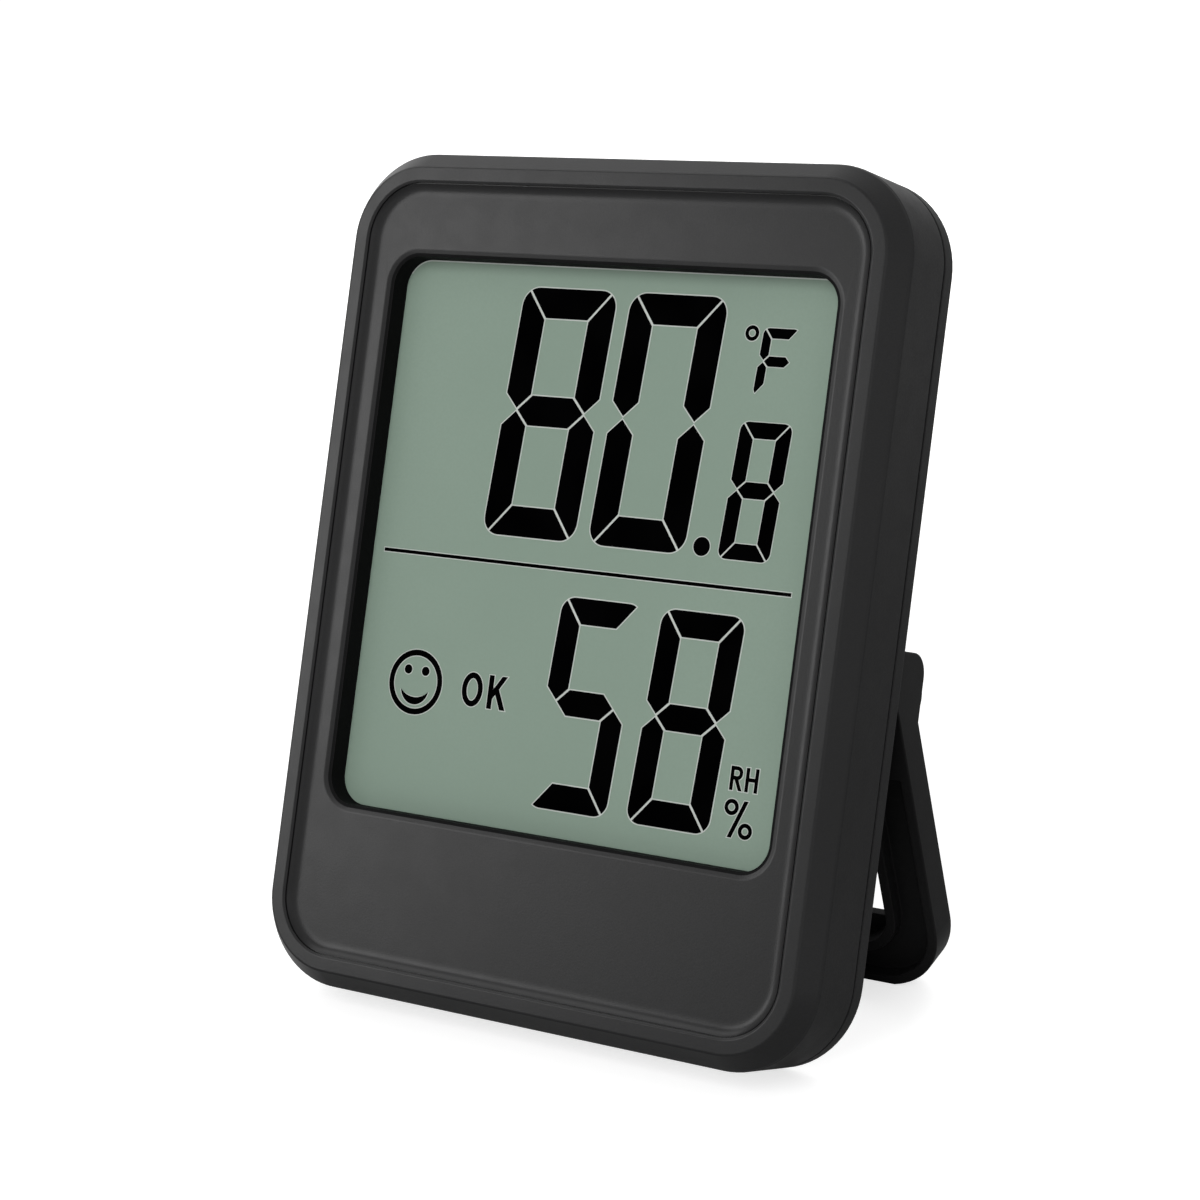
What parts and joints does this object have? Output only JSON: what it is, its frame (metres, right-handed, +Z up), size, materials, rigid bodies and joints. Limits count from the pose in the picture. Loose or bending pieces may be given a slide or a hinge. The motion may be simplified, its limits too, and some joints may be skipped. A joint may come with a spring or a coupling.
{
  "type": "desk thermo-hygrometer",
  "caption": "Slim desk temperature and humidity monitor: dark rounded case with a large display window, rear twist battery door, unit button, hanging slot and a fold-out loop stand.",
  "frame": {"origin": "middle of the standing object's footprint box, on the table", "axes": "+Z up, front face towards -Y and leaning back, +X to the right of a person facing the display"},
  "size_m": [0.06, 0.0376, 0.0767],
  "materials": {
    "case_plastic": "matte, fine texture",
    "display_face": "satin film",
    "display_glass": "clear",
    "display_reflector": "satin",
    "zebra_rubber": "matte",
    "foam": "matte",
    "board": "satin",
    "epoxy": "satin",
    "chip_parts": "matte",
    "steel": "satin",
    "sensor_body": "matte",
    "cell_can": "satin",
    "contact_metal": "satin",
    "button_plastic": "matte",
    "black_steel": "satin"
  },
  "bodies": {
    "housing": {"front_case": "case_plastic", "rear_cover": "case_plastic", "front_polariser": "display_face", "lcd_front_glass": "display_glass", "lcd_rear_glass": "display_glass", "lcd_reflector": "display_reflector", "zebra_connector": "zebra_rubber", "lcd_cushion": "foam", "circuit_board": "board", "chip_blob": "epoxy", "chip_components": "chip_parts", "timing_crystal": "steel", "humidity_sensor": "sensor_body", "tact_switch": "steel", "coin_cell": "cell_can", "positive_contact": "contact_metal", "negative_contact": "contact_metal", "board_screws": "steel", "case_screws": "black_steel", "hinge_pins": "steel"},
    "stand": {"stand_frame": "case_plastic"},
    "door": {"battery_door": "case_plastic"},
    "button": {"unit_button": "button_plastic"}
  },
  "joints": [
    {"name": "stand_fold", "type": "hinge", "parent": "housing", "child": "stand", "pos_m": [0, 0.00498, 0.03064], "axis": [-1, 0, 0], "range_deg": [0, 33.6]},
    {"name": "door_twist", "type": "hinge", "parent": "housing", "child": "door", "pos_m": [0, -0.00264, 0.02023], "axis": [0, 0.9312, -0.3644], "range_deg": [0, 40]},
    {"name": "button_press", "type": "slide", "parent": "housing", "child": "button", "axis": [0, -0.9312, 0.3644], "range_m": [0, 0.0005], "stiffness_N_per_m": 1500}
  ]
}
